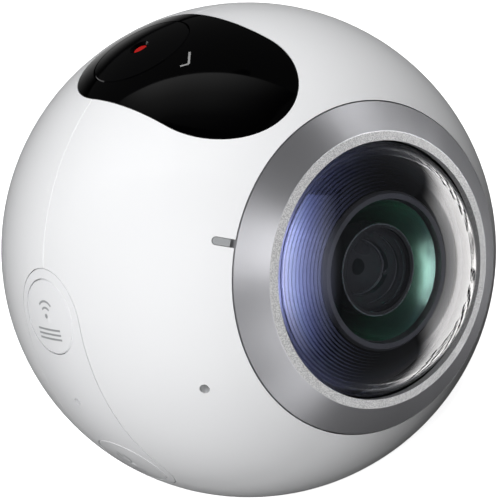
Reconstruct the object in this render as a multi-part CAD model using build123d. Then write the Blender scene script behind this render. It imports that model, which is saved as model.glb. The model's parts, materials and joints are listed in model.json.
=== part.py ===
from build123d import *
import os
from math import asin, atan, cos, degrees, hypot, radians, sin, sqrt

# A ball-shaped camera with a fisheye lens on its front and another on its back.
# Millimetres. The front lens looks along -Y, the buttons are on the -X side, the
# battery door is on the +X side and Z is up. Everything is drawn about the ball's
# centre, and is lifted at the end so that the tripod thread's mouth is the origin.

# Angles in degrees
right_angle = 90.0
half_turn = 180.0
full_turn = 360.0

# The ball
body_radius = 30.0
flat_drop = 3.8
wall = 1.8
foot_proud = 0.3
floor_thickness = 1.6
overrun = 5.0
fit_gap = 0.1
running_gap = 0.2
seam_chamfer = 0.08
tongue_reach = 0.8
tongue_thickness = 0.7

# Pieces let into the ball's wall
inlay_thickness = 1.6
seat_thickness = 1.1
seat_margin = 1.2

# Top panel, with the round button at one end of it and the display at the other
top_half_width = 8.7
top_reach = 12.5
top_lens_web = 0.8
ok_radius = 6.24
ok_flange = 0.86
dimple_radius = 1.25
lamp_radius = 0.9
lamp_depth = 0.35
lamp_length = 1.5
display_angle = 29.3
display_length = 9.0
display_width = 11.0
display_thickness = 1.2

# Side panel, with two round buttons and a sound hole between them
side_half_width = 5.6
side_reach = 21.0
side_button_angle = 21.4
side_button_radius = 4.54
side_button_flange = 0.4
sound_hole_radius = 0.5
front_sound_hole_radius = 0.6
front_sound_angle = 37.3
microphone_radius = 1.5
microphone_length = 2.0

# Buttons
button_edge = 0.12
button_top_wall = 1.6
button_rim_wall = 1.0
button_flange_thickness = 0.6
button_travel = 0.35
stem_radius = 1.5
key_depth = 5.05
plunger_slack = 0.1

# Lens ring and the opening that it fills
opening_radius = 19.6
ring_gap = 0.15
bezel_outer = 16.2
bezel_inner = 15.1
bezel_rise = 0.25
ring_web = 2.0
ring_skirt = 0.8
ring_drop = 3.05
ring_lip = 1.0
ring_relief = 0.7
ledge_drop = 3.3
ledge_thickness = 0.8
ledge_inner = 15.8
collar_wall = 1.2
collar_height = 1.6
ring_seal_thickness = 0.6

# Outer glass. Heights of lens pieces are measured from the bezel's outer edge.
dome_radius = 16.95
dome_rise = 8.1
dome_thickness = 1.4
dome_edge_radius = 14.9
dome_seat_drop = 2.85

# Ridged light baffle
baffle_outer = 13.9
baffle_rim = 13.6
baffle_inner = 8.65
baffle_seat_drop = 3.65
baffle_low_drop = 2.1
baffle_high_rise = 0.55
baffle_ridges = 13
ridge_depth = 0.16

# Retaining ring, lens cell and inner lens
retainer_outer = 9.05
retainer_inner = 8.2
retainer_height = 0.55
retainer_skirt = 1.6
cell_outer = 5.35
cell_top_drop = 0.5
cell_flange_radius = 8.1
cell_tail_radius = 6.1
cell_tail_length = 1.8
cup_radius = 8.5
cup_rise = 3.05
cup_reach = 8.0
cell_lens_radius = 4.85
cell_lens_depth = 0.7
cell_step_radii_shares = (0.84, 0.68, 0.51, 0.29)
cell_step_depths_shares = (0.36, 0.6, 0.82, 1.0)
cell_step_drop = 2.6
inner_lens_curve = 8.8
inner_lens_edge = 0.35

# Lens barrel and image sensor
barrel_cup_radius = 15.6
barrel_cup_top_drop = 1.5
barrel_cup_bottom_drop = 5.25
barrel_neck_radius = 9.5
barrel_flange_radius = 13.2
barrel_flange_thickness = 1.2
barrel_tail_radius = 7.4
barrel_tail_end = 5.4
barrel_bore = 6.2
sensor_board = 14.6
sensor_board_thickness = 0.8
sensor_chip_length = 9.0
sensor_chip_width = 7.0
sensor_chip_thickness = 0.9

# Chassis
bulkhead_face = 11.8
bulkhead_thickness = 1.6
bulkhead_half_width = 16.0
bulkhead_top = 14.4
sleeve_wall = 0.8
post_radius = 1.6
post_ring = 17.1
board_boss_radius = 1.7
board_boss_length = 4.4
board_screw_inset = 2.25
rail_width = 1.3
rail_thickness = 0.8

# Battery
battery_length = 33.8
battery_width = 18.4
battery_thickness = 8.2
sleeve_lift = 4.7
battery_door_gap = 12.8
battery_corner = 2.4
battery_gap = 0.2
contact_length = 0.6
contact_width = 1.2
contact_height = 4.0
contact_spacing = 3.0
contact_count = 4

# Battery door, on a plane that touches the ball at its +X side
door_width = 34.0
door_height = 47.5
door_corner = 7.0
door_drop = 6.75
door_gap = 0.12
door_seat_width = 1.0
door_lip_inset = 2.1
door_lip_wall = 0.9
door_lip_depth = 1.5
seal_gap = 0.35
seal_depth = 0.9
near_share = 0.5
far_share = 1.15
knuckle_radius = 1.0
knuckle_length = 3.0
door_knuckle_length = 5.4
knuckle_gap = 0.2
hinge_depth = 0.2
hinge_groove = 0.25
hinge_pin_radius = 0.45
hinge_pin_gap = 0.05
lug_thickness = 1.4
lug_reach = 2.3
finger_notch_radius = 4.0
finger_notch_depth = 0.7

# Boards
board_thickness = 1.0
main_board_width = 26.0
main_board_length = 27.0
top_board_depth = 8.4
top_board_thickness = 0.8
top_board_width = 17.0
top_board_front = 12.0
top_board_rear = 7.5
standoff_radius = 1.4
chip_size = 9.0
chip_thickness = 1.1
buzzer_radius = 3.6
buzzer_height = 2.2
switch_size = 6.0
switch_height = 1.6
small_switch_size = 4.0
small_switch_height = 1.1
plunger_radius = 1.2
side_board_width = 9.0
side_board_thickness = 0.5
side_board_end = 4.5
bracket_thickness = 1.2
bracket_arm_level = 5.0

# Card and plug sockets
port_board_level = 8.2
port_board_thickness = 0.8
port_board_inner = 5.0
port_board_depth = 9.0
card_length = 15.0
card_width = 11.0
card_thickness = 0.7
card_gap = 0.1
card_proud = 0.8
card_push = 0.7
socket_wall = 0.35
plug_width = 8.8
plug_height = 2.6
plug_depth = 6.5
plug_wall = 0.4
plug_tongue_width = 5.6
plug_tongue_thickness = 0.6

# Base
base_hole_radius = 11.5
base_flange_radius = 13.6
base_flange_thickness = 1.2
foot_outer = 10.6
foot_inner = 6.6
foot_groove = 0.7
nut_radius = 5.2
nut_collar_radius = 6.2
nut_collar_thickness = 1.0
nut_top_radius = 4.8
nut_height = 5.6
thread_radius = 3.2

# Status lights
light_width = 0.87
light_inner = 20.0
light_outer = 21.5
light_length_gap = 0.06
light_thickness = 1.9
light_angle = 135.0

# Screws
screw_shank = 0.65
screw_head_radius = 1.25
screw_head_height = 0.8
screw_gap = 0.05
shell_screw_length = 5.9
lens_screw_ring = 11.3
lens_screw_length = 2.6
board_screw_length = 4.0
base_screw_ring = 8.6
base_screw_length = 4.6
base_boss_radius = 2.0
post_hole_depth = 6.4

# Worked out from the sizes above
inner_radius = body_radius - wall
inlay_radius = body_radius - inlay_thickness
seat_radius = inlay_radius - fit_gap
seat_under = seat_radius - seat_thickness
centre_height = body_radius - flat_drop
bottom = foot_proud - centre_height
floor_top = bottom + floor_thickness
ring_radius = opening_radius - ring_gap
bezel_level = sqrt(body_radius**2 - bezel_outer**2)
ring_bottom = bezel_level - ring_drop
ledge_top = sqrt(body_radius**2 - opening_radius**2) - ledge_drop
ledge_bottom = ledge_top - ledge_thickness
dome_centre = bezel_level + dome_rise - dome_radius
dome_seat = bezel_level - dome_seat_drop
baffle_seat = bezel_level - baffle_seat_drop
baffle_low = bezel_level - baffle_low_drop
baffle_high = bezel_level + baffle_high_rise
cell_top = bezel_level - cell_top_drop
cell_lens_seat = cell_top - cell_lens_depth
cup_centre = bezel_level + cup_rise
barrel_cup_top = bezel_level - barrel_cup_top_drop
barrel_cup_bottom = bezel_level - barrel_cup_bottom_drop
bulkhead_back = bulkhead_face - bulkhead_thickness
board_top = bulkhead_top + board_thickness
battery_end = body_radius - battery_door_gap
battery_start = battery_end - battery_length
sleeve_start = battery_start - contact_length - battery_gap
base_top = floor_top + base_flange_thickness
sleeve_bottom = base_top + sleeve_lift
battery_bottom = sleeve_bottom + sleeve_wall + battery_gap
battery_top = battery_bottom + battery_thickness
stem_end = body_radius - key_depth
plunger_end = stem_end - button_travel - plunger_slack
top_board_level = body_radius - top_board_depth
port_board_outer = body_radius - port_board_depth
low = (Align.CENTER, Align.CENTER, Align.MIN)
high = (Align.CENTER, Align.CENTER, Align.MAX)


def turned(*edges):
    """A solid turned about Z, from edges drawn with radius as X and height as Y."""
    return revolve(Plane.XZ * make_face(edges), Axis.Z)


def turned_outline(*points):
    """A solid turned about Z from a closed outline of (radius, height) points."""
    return turned(*Polyline(*points, close=True).edges())


def shelled(outer, inner):
    """The layer of the ball between two radii."""
    return Sphere(outer) - Sphere(inner)


def disc(radius, start, end):
    """A round of one radius between two heights."""
    return Pos(0, 0, start) * Cylinder(radius, end - start, align=low)


def front(shape):
    """Turns a shape that looks up to look out of the front."""
    return Rot(right_angle, 0, 0) * shape


def rear(shape):
    """Turns a shape that looks up to look out of the back."""
    return Rot(0, 0, half_turn) * front(shape)


def to_buttons(shape):
    """Turns a shape that looks up to look out of the side with the buttons."""
    return Rot(0, -right_angle, 0) * shape


def to_door(shape):
    """Turns a shape that looks up to look out of the side with the door."""
    return Rot(0, right_angle, 0) * shape


def round_places(radius, first, count):
    """Places spaced evenly on a circle, the first at an angle in degrees."""
    angles = [radians(first + full_turn * turn / count) for turn in range(count)]
    return [(radius * cos(angle), radius * sin(angle)) for angle in angles]


def level_on(radius, reach):
    """The height of a ball's surface at a distance from its axis."""
    return sqrt(radius**2 - reach**2)


def at_each(places, height, shape):
    """Copies of a shape at several places on one height."""
    return [Pos(x, y, height) * shape for x, y in places]


# Outlines of the inlaid pieces


def top_prism(margin):
    """The top panel's upright outline, widened by a margin and kept off the lens opening."""
    slot = SlotCenterToCenter(top_reach, 2 * (top_half_width + margin), rotation=right_angle)
    prism = extrude(Pos(0, -top_reach / 2) * slot, body_radius + overrun)
    web = Cylinder(opening_radius + top_lens_web - margin, 2 * body_radius)
    return prism - front(web)


def side_prism(margin):
    """The side panel's outline, widened by a margin, before it is turned sideways."""
    slot = SlotCenterToCenter(side_reach, 2 * (side_half_width + margin))
    return extrude(slot, body_radius + overrun)


def door_face(share, margin):
    """The door's outline on a plane at a share of the ball's radius, seen from its centre."""
    length = share * (door_height + 2 * margin)
    width = share * (door_width + 2 * margin)
    outline = RectangleRounded(length, width, share * (door_corner + margin))
    return Pos(share * door_drop, 0, share * body_radius) * outline


def door_prism(margin):
    """The space behind the door's outline. Its sides run square to the ball."""
    faces = [door_face(share, margin) for share in (near_share, far_share)]
    return to_door(loft(faces, ruled=True))


def side_button_turns():
    """The upper button's turn and the lower one's."""
    return (Rot(0, side_button_angle, 0), Rot(0, -side_button_angle, 0))


def flange_top(button_radius, flange):
    """The height of a button's flange, just under the panel that holds it in."""
    return level_on(inlay_radius, button_radius + flange) - running_gap


# Lens pieces, drawn looking up about their own axis


def lens_seat():
    """The ledge and collar that the wall carries round a lens opening."""
    outer = opening_radius + collar_wall
    top = ledge_top + collar_height
    blank = turned_outline(
        (ledge_inner, ledge_bottom),
        (outer, ledge_bottom),
        (outer, top),
        (opening_radius, top),
        (opening_radius, ledge_top),
        (ledge_inner, ledge_top),
    )
    return blank & Sphere(body_radius - wall / 4)


def lens_ring():
    """The metal ring round the lens. It follows the ball, and ends in a cut bezel."""
    skirt_end = ledge_top + ring_seal_thickness
    rim = level_on(body_radius, ring_radius)
    start = degrees(asin(rim / body_radius))
    sweep = degrees(asin(bezel_level / body_radius)) - start
    skirt_inner = ring_radius - ring_skirt
    crest = bezel_level + bezel_rise
    outline = Polyline(
        (bezel_outer, bezel_level),
        (bezel_inner, crest),
        (bezel_inner, crest - ring_lip),
        (bezel_inner + ring_relief, crest - ring_lip - ring_relief),
        (bezel_inner + ring_relief, ring_bottom),
        (bezel_outer, ring_bottom),
        (skirt_inner, level_on(body_radius - ring_web, skirt_inner)),
        (skirt_inner, skirt_end),
        (ring_radius, skirt_end),
        (ring_radius, rim),
    )
    return turned(CenterArc((0, 0), body_radius, start, sweep), *outline.edges())


def ring_seal():
    """The soft washer between the ring's skirt and the ledge."""
    outer = disc(ring_radius, ledge_top, ledge_top + ring_seal_thickness)
    return outer - disc(ring_radius - ring_skirt, 0, body_radius)


def dome_lens():
    """The bulging outer lens, a deep glass shell with a ground edge."""
    inner = dome_radius - dome_thickness
    crown = dome_centre + level_on(dome_radius, dome_edge_radius)
    outer_start = degrees(asin((crown - dome_centre) / dome_radius))
    inner_start = degrees(asin((dome_seat - dome_centre) / inner))
    inner_edge = level_on(inner, dome_seat - dome_centre)
    centre = (0, dome_centre)
    return turned(
        CenterArc(centre, dome_radius, outer_start, right_angle - outer_start),
        Line((0, dome_centre + dome_radius), (0, dome_centre + inner)),
        CenterArc(centre, inner, inner_start, right_angle - inner_start),
        Line((inner_edge, dome_seat), (dome_edge_radius, dome_seat)),
        Line((dome_edge_radius, dome_seat), (dome_edge_radius, crown)),
    )


def light_baffle():
    """The stepped black cone under the dome, cut with fine rings against stray light."""
    run = (baffle_rim - retainer_outer) / baffle_ridges
    rise = (baffle_high - baffle_low) / baffle_ridges
    points = [(baffle_outer, baffle_seat), (baffle_outer, baffle_low)]
    for ridge in range(baffle_ridges):
        reach = baffle_rim - ridge * run
        level = baffle_low + ridge * rise
        points.append((reach, level))
        points.append((reach - run / 4, level + rise + ridge_depth))
    points.append((retainer_outer, baffle_high))
    points.append((baffle_inner, baffle_high))
    points.append((baffle_inner, baffle_seat))
    return turned_outline(*points)


def retaining_ring():
    """The ring that caps the baffle and shows as a thin grey circle."""
    skirt_outer = baffle_inner - fit_gap
    top = baffle_high + retainer_height
    return turned_outline(
        (retainer_inner, baffle_high - retainer_skirt),
        (skirt_outer, baffle_high - retainer_skirt),
        (skirt_outer, baffle_high),
        (retainer_outer, baffle_high),
        (retainer_outer, top - retainer_height / 2),
        (retainer_outer - retainer_height / 2, top),
        (retainer_inner, top),
    )


def lens_cell():
    """The black cup whose tower holds the inner lens over a stepped throat."""
    radii = [share * cell_lens_radius for share in cell_step_radii_shares]
    levels = [cell_lens_seat - share * cell_step_drop for share in cell_step_depths_shares]
    tail_end = baffle_seat - cell_tail_length
    cup_low = cup_centre - level_on(cup_radius, cell_outer)
    cup_high = cup_centre - level_on(cup_radius, cup_reach)
    points = [(cell_lens_radius, cell_lens_seat)]
    level = cell_lens_seat
    for reach, next_level in zip(radii, levels):
        points.append((reach, level))
        points.append((reach, next_level))
        level = next_level
    points[-1] = (radii[-1], tail_end)
    inside = [(cell_outer, cup_low), (cell_outer, cell_top), (cell_lens_radius, cell_top)] + points
    outside = [
        (cell_tail_radius, tail_end),
        (cell_tail_radius, baffle_seat),
        (cell_flange_radius, baffle_seat),
        (cell_flange_radius, cup_high),
        (cup_reach, cup_high),
    ]
    start = -degrees(asin((cup_centre - cup_low) / cup_radius))
    sweep = degrees(asin((cup_centre - cup_low) / cup_radius)) - degrees(
        asin((cup_centre - cup_high) / cup_radius)
    )
    cup = CenterArc((0, cup_centre), cup_radius, start, sweep)
    return turned(cup, *Polyline(*inside, *outside).edges())


def inner_lens():
    """The small second lens, round on top and flat where it sits in the cell."""
    reach = cell_lens_radius - fit_gap / 2
    edge = cell_lens_seat + inner_lens_edge
    centre = edge - level_on(inner_lens_curve, reach)
    start = degrees(asin((edge - centre) / inner_lens_curve))
    return turned(
        CenterArc((0, centre), inner_lens_curve, start, right_angle - start),
        Line((0, centre + inner_lens_curve), (0, cell_lens_seat)),
        Line((0, cell_lens_seat), (reach, cell_lens_seat)),
        Line((reach, cell_lens_seat), (reach, edge)),
    )


def screw_holes(places, start, end):
    """Clearance holes for screws."""
    hole = Cylinder(screw_shank + screw_gap, end - start, align=low)
    return at_each(places, start, hole)


def lens_barrel():
    """The black tube that carries the dome, the baffle, the cell and the image sensor."""
    flange_top_level = bulkhead_face + barrel_flange_thickness
    glass_bore = dome_edge_radius + fit_gap / 2
    baffle_bore = baffle_outer + fit_gap / 2
    blank = turned_outline(
        (barrel_bore, barrel_tail_end),
        (barrel_tail_radius, barrel_tail_end),
        (barrel_tail_radius, bulkhead_face),
        (barrel_flange_radius, bulkhead_face),
        (barrel_flange_radius, flange_top_level),
        (barrel_neck_radius, flange_top_level),
        (barrel_neck_radius, barrel_cup_bottom),
        (barrel_cup_radius, barrel_cup_bottom),
        (barrel_cup_radius, barrel_cup_top),
        (glass_bore, barrel_cup_top),
        (glass_bore, dome_seat),
        (baffle_bore, dome_seat),
        (baffle_bore, baffle_seat),
        (barrel_bore, baffle_seat),
    )
    places = round_places(lens_screw_ring, 0, 4)
    return blank - screw_holes(places, 0, flange_top_level)


def image_sensor():
    """The sensor chip on its board, closing the barrel's tail."""
    board = Pos(0, 0, barrel_tail_end) * Box(
        sensor_board, sensor_board, sensor_board_thickness, align=high
    )
    chip = Pos(0, 0, barrel_tail_end) * Box(
        sensor_chip_length, sensor_chip_width, sensor_chip_thickness, align=low
    )
    return board + chip


# The ball's two shells


def outer_form():
    """The ball with its flat bottom."""
    size = 2 * body_radius
    return Sphere(body_radius) & Pos(0, 0, bottom) * Box(size, size, size, align=low)


def cavity():
    """The space inside the wall and over the floor."""
    size = 2 * body_radius
    return Sphere(inner_radius) & Pos(0, 0, floor_top) * Box(size, size, size, align=low)


def inlay_seats():
    """Thicker places in the wall under the top panel, the side panel and the door."""
    band = shelled(seat_radius, seat_under)
    top = band & top_prism(seat_margin)
    side = band & to_buttons(side_prism(seat_margin))
    door = band & door_prism(seat_margin)
    return [top, side, door]


def inlay_pockets():
    """What the inlaid pieces leave of the wall above their seats."""
    outlines = [
        top_prism(fit_gap),
        to_buttons(side_prism(fit_gap)),
        door_prism(door_gap),
    ]
    return [outline - Sphere(seat_radius) for outline in outlines]


def display_block(margin):
    """The display's flat block, tilted to lie under the top panel."""
    half_diagonal = hypot(display_length, display_width) / 2
    top = level_on(inlay_radius - fit_gap, half_diagonal)
    block = Pos(0, 0, top + margin) * Box(
        display_width + 2 * margin,
        display_length + 2 * margin,
        display_thickness + 2 * margin,
        align=high,
    )
    return Rot(display_angle, 0, 0) * block


def button_ways():
    """Holes in the seats for the buttons' flanges, and for the display."""
    length = body_radius
    ok_way = Cylinder(ok_radius + ok_flange + 2 * running_gap, length, align=low)
    small_way = Cylinder(
        side_button_radius + side_button_flange + 2 * running_gap, length, align=low
    )
    ways = [ok_way, display_block(running_gap)]
    for turn in side_button_turns():
        ways.append(to_buttons(turn * small_way))
    return ways


def sound_holes():
    """The microphone seat behind the side panel, and the hole nearer the front lens."""
    side_way = Cylinder(microphone_radius + running_gap, body_radius, align=low)
    front_way = Cylinder(front_sound_hole_radius, body_radius + overrun, align=low)
    turn = Rot(0, 0, front_sound_angle)
    return [to_buttons(side_way), turn * to_buttons(front_way)]


def light_slot(inner, outer, width):
    """A slot that runs in towards the lens ring and ends in a round, looking up."""
    middle = (light_inner + light_outer) / 2
    tilt = degrees(asin(middle / body_radius))
    stretch = 1 / cos(radians(tilt))
    near = (inner - middle) * stretch
    far = (outer - middle) * stretch
    straight = far - width / 2 - near
    bar = Pos(near, 0) * Rectangle(straight, width, align=(Align.MIN, Align.CENTER))
    tip = Pos(far - width / 2, 0) * Circle(width / 2)
    block = extrude(bar + tip, light_thickness)
    level = body_radius - light_thickness
    return Rot(0, 0, light_angle) * Rot(0, tilt, 0) * Pos(0, 0, level) * block


def light_cut():
    """The slot in the shell, open towards the lens ring."""
    outer = light_outer + light_length_gap
    return light_slot(opening_radius - ring_gap, outer, light_width + 2 * light_length_gap)


def status_light():
    """The clear bar that fills the slot, trimmed to the ball and kept off the lens ring."""
    bar = light_slot(light_inner, light_outer, light_width) & Sphere(body_radius)
    return bar - Cylinder(light_inner, 2 * body_radius)


def whole_shell():
    """Both shells as one, before they are parted."""
    blank = outer_form() - cavity()
    seats = inlay_seats() + [front(lens_seat()), rear(lens_seat())]
    opening = disc(opening_radius, ledge_top, body_radius + overrun)
    ledge_holes = screw_holes(round_places(post_ring, right_angle / 2, 4), ledge_bottom, ledge_top)
    lens_cuts = [opening, light_cut()] + ledge_holes
    cuts = inlay_pockets() + button_ways() + sound_holes()
    cuts += [front(cut) for cut in lens_cuts]
    cuts += [mirror(front(cut), about=Plane.XZ) for cut in lens_cuts]
    cuts.append(door_prism(-door_seat_width))
    cuts.append(hinge_groove_cut())
    cuts.append(disc(base_hole_radius, bottom - overrun, floor_top))
    return blank + seats - cuts, cuts


def seam_half():
    """A block that holds one half of the ball, looking up from the seam and bevelled there."""
    outer = body_radius + overrun
    return turned_outline(
        (0, 0),
        (body_radius - seam_chamfer, 0),
        (outer, overrun + seam_chamfer),
        (outer, outer),
        (0, outer),
    )


def seam_band(outer, inner, reach, start):
    """A band of the ball just in front of the seam, above the floor."""
    size = 2 * body_radius
    return shelled(outer, inner) & Pos(0, -reach / 2, start) * Box(size, reach, size, align=low)


def front_shell(shell):
    """The front half, with a rebate for the rear half's tongue."""
    tongue_top = inner_radius + tongue_thickness + fit_gap
    rebate = seam_band(tongue_top, inner_radius - fit_gap, tongue_reach + fit_gap, floor_top)
    return (shell & front(seam_half())) - rebate


def rear_shell(shell, cuts):
    """The rear half, with its tongue and the door's knuckles."""
    tongue_top = inner_radius + tongue_thickness
    tongue = seam_band(tongue_top, inner_radius, tongue_reach, floor_top + fit_gap) - cuts
    return (shell & rear(seam_half())) + tongue + shell_knuckles()


# Battery door and its hinge


def hinge_turn():
    """The hinge line's angle round the ball, on the door's rear edge."""
    return degrees(atan((door_width + door_gap) / 2 / body_radius))


def at_hinge(shape):
    """Moves a shape to the hinge line, with its X pointing out of the ball."""
    turn = hinge_turn()
    reach = body_radius - hinge_depth
    return Rot(0, 0, turn) * Pos(reach, 0, 0) * shape


def hinge_groove_cut():
    """A groove that gives the knuckles room to turn."""
    length = door_knuckle_length + 2 * (knuckle_length + 2 * knuckle_gap)
    return at_hinge(Cylinder(knuckle_radius + hinge_groove, length))


def knuckle(length, side):
    """A hinge eye with the lug that ties it to the shell or the door."""
    eye = Cylinder(knuckle_radius, length)
    along = Align.MIN if side > 0 else Align.MAX
    lug = Pos(fit_gap, 0, 0) * Box(
        lug_thickness, lug_reach, length, align=(Align.MAX, along, Align.CENTER)
    )
    hole = Cylinder(hinge_pin_radius + hinge_pin_gap, length)
    return eye + lug - hole


def shell_knuckles():
    """The rear shell's two eyes."""
    level = door_knuckle_length / 2 + knuckle_gap + knuckle_length / 2
    return [at_hinge(Pos(0, 0, side * level) * knuckle(knuckle_length, 1)) for side in (-1, 1)]


def battery_door():
    """The cover over the battery, the card and the plug, with its sealing lip."""
    plate = shelled(body_radius, inlay_radius) & door_prism(0)
    lip_outer = door_prism(-door_lip_inset)
    lip_inner = door_prism(-door_lip_inset - door_lip_wall)
    band = shelled(inlay_radius + fit_gap, inlay_radius - door_lip_depth)
    lip = (band & lip_outer) - lip_inner
    turn = degrees(atan(-door_width / 2 / body_radius)) + degrees(
        asin(finger_notch_radius / body_radius)
    )
    ball = Pos(body_radius + finger_notch_radius - finger_notch_depth, 0, 0)
    notch = Rot(0, 0, turn) * ball * Sphere(finger_notch_radius)
    body = plate + lip - hinge_groove_cut() - notch
    return body + at_hinge(knuckle(door_knuckle_length, -1))


def door_seal():
    """The soft band round the door's lip."""
    outer = door_prism(-door_seat_width - seal_gap)
    inner = door_prism(-door_lip_inset + fit_gap)
    top = inlay_radius - fit_gap / 2
    return (shelled(top, top - seal_depth) & outer) - inner


def door_hinge_pin():
    """The pin through the three eyes."""
    length = door_knuckle_length + 2 * (knuckle_length + knuckle_gap)
    return at_hinge(Cylinder(hinge_pin_radius, length))


# Top panel, side panel and buttons


def top_panel():
    """The black panel with a hole for its round button."""
    return (shelled(body_radius, inlay_radius) & top_prism(0)) - Cylinder(
        ok_radius + fit_gap, body_radius + overrun, align=low
    )


def side_panel():
    """The side panel with two button holes and a sound hole."""
    panel = shelled(body_radius, inlay_radius) & side_prism(0)
    hole = Cylinder(side_button_radius + fit_gap, body_radius + overrun, align=low)
    holes = [turn * hole for turn in side_button_turns()]
    holes.append(Cylinder(sound_hole_radius, body_radius + overrun, align=low))
    return to_buttons(panel - holes)


def button(radius, flange):
    """A round key that follows the ball, with a flange, a hollow and a stem, looking up."""
    flange_level = flange_top(radius, flange)
    under = flange_level - button_flange_thickness
    ceiling = body_radius - button_top_wall
    rim = level_on(body_radius, radius)
    hollow = radius - button_rim_wall
    crown_reach = radius - button_edge
    crown = level_on(body_radius, crown_reach)
    edge = degrees(asin(crown / body_radius))
    return turned(
        CenterArc((0, 0), body_radius, edge, right_angle - edge),
        Line((crown_reach, crown), (radius, rim - button_edge)),
        Line((radius, rim - button_edge), (radius, flange_level)),
        Line((radius, flange_level), (radius + flange, flange_level)),
        Line((radius + flange, flange_level), (radius + flange, under)),
        Line((radius + flange, under), (hollow, under)),
        Line((hollow, under), (hollow, ceiling - button_rim_wall)),
        Line((hollow, ceiling - button_rim_wall), (stem_radius, ceiling - button_rim_wall)),
        Line((stem_radius, ceiling - button_rim_wall), (stem_radius, stem_end)),
        Line((stem_radius, stem_end), (0, stem_end)),
        Line((0, stem_end), (0, body_radius)),
    )


def lamp_bore():
    """The dimple and bore for the recording light in the middle of the key."""
    mouth = body_radius
    throat = mouth - lamp_depth
    bore = lamp_radius + fit_gap / 2
    floor = throat - lamp_length
    return turned_outline(
        (0, floor),
        (bore, floor),
        (bore, throat),
        (dimple_radius, mouth),
        (dimple_radius, mouth + overrun),
        (0, mouth + overrun),
    )


def record_lamp():
    """The red light in the key's dimple, with a rounded top."""
    top = body_radius - lamp_depth
    lamp = disc(lamp_radius, top - lamp_length, top)
    return fillet(lamp.edges().group_by(Axis.Z)[-1], lamp_depth / 2)


def side_button(turn):
    """One of the two side keys."""
    return to_buttons(turn * button(side_button_radius, side_button_flange))


def switch(size, height, start):
    """A push switch with a round plunger that ends just under its key's stem."""
    base = Pos(0, 0, start) * Box(size, size, height, align=low)
    return base + disc(plunger_radius, start, plunger_end)


def small_switch_level():
    """How far out the side switches' board lies."""
    return plunger_end - small_switch_height - plunger_slack


def side_switch(turn):
    """The switch behind one of the side keys."""
    return to_buttons(turn * switch(small_switch_size, small_switch_height, small_switch_level()))


def bent_strip(level, thickness, width):
    """A strip bent at its middle to lie square to both side keys."""
    angle = radians(side_button_angle)
    reach = level * sin(angle) + side_board_end * cos(angle)
    fall = level * cos(angle) - side_board_end * sin(angle)
    down_x = thickness * sin(angle)
    down_z = thickness * cos(angle)
    outline = Polyline(
        (-reach, fall),
        (0, level / cos(angle)),
        (reach, fall),
        (reach - down_x, fall - down_z),
        (0, (level - thickness) / cos(angle)),
        (-reach + down_x, fall - down_z),
        close=True,
    )
    strip = extrude(Plane.XZ * make_face(outline.edges()), width / 2, both=True)
    return to_buttons(strip)


def side_board():
    """The flexible board under the side switches."""
    return bent_strip(small_switch_level(), side_board_thickness, side_board_width)


def switch_bracket():
    """The bracket that ties the side board to the chassis."""
    level = small_switch_level() - side_board_thickness
    plate = bent_strip(level, bracket_thickness, side_board_width)
    arm_reach = level - bracket_thickness - bulkhead_half_width + board_thickness
    arm = Box(
        bracket_thickness,
        2 * bulkhead_back,
        arm_reach,
        align=(Align.CENTER, Align.CENTER, Align.MIN),
    )
    start = bulkhead_half_width - board_thickness
    arms = [to_buttons(Pos(side * bracket_arm_level, 0, start) * arm) for side in (-1, 1)]
    return plate + arms


def microphones():
    """One microphone behind each sound hole."""
    side_level = inlay_radius - fit_gap
    front_level = inner_radius - fit_gap
    capsule = Cylinder(microphone_radius, microphone_length, align=high)
    side = to_buttons(Pos(0, 0, side_level) * capsule)
    near_lens = Rot(0, 0, front_sound_angle) * to_buttons(
        Pos(0, 0, level_on(front_level, microphone_radius)) * capsule
    )
    return Compound(children=[side, near_lens])


# Chassis, battery and boards


def sleeve_box(margin):
    """The battery's space, widened by a margin."""
    width = battery_width + 2 * (battery_gap + margin)
    height = battery_thickness + 2 * (battery_gap + margin)
    start = sleeve_start - margin
    middle = (battery_top + battery_bottom) / 2
    return Pos(start, 0, middle) * Box(
        battery_end + battery_gap - start,
        width,
        height,
        align=(Align.MIN, Align.CENTER, Align.CENTER),
    )


def bulkhead():
    """The plate that a lens barrel is screwed to, looking up along the lens axis."""
    outline = Pos(0, sleeve_bottom, bulkhead_back) * Box(
        2 * bulkhead_half_width,
        bulkhead_top - sleeve_bottom,
        bulkhead_thickness,
        align=(Align.CENTER, Align.MIN, Align.MIN),
    )
    posts = at_each(
        round_places(post_ring, right_angle / 2, 4),
        bulkhead_back,
        Cylinder(post_radius, ledge_bottom - fit_gap - bulkhead_back, align=low),
    )
    bore = Cylinder(barrel_tail_radius + fit_gap / 2, body_radius, align=low)
    post_start = ledge_bottom - post_hole_depth
    holes = screw_holes(round_places(post_ring, right_angle / 2, 4), post_start, body_radius)
    lens_holes = screw_holes(round_places(lens_screw_ring, 0, 4), bulkhead_back, body_radius)
    return outline + posts - bore - holes - lens_holes


def board_places():
    """Where the main board is screwed down."""
    x = main_board_width / 2 - board_screw_inset
    y = bulkhead_back - screw_head_radius / 2
    return [(x, y), (-x, y), (x, -y), (-x, -y)]


def base_places():
    """Where the base plate is screwed to the chassis."""
    return round_places(base_screw_ring, right_angle, 3)


def board_rails():
    """Rails on the bulkheads' inner faces, under the small board."""
    length = bulkhead_half_width - port_board_inner
    y = bulkhead_back - rail_width / 2
    rail = Box(length, rail_width, rail_thickness, align=(Align.MIN, Align.CENTER, Align.MAX))
    return [Pos(port_board_inner, side * y, port_board_level) * rail for side in (-1, 1)]


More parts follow.
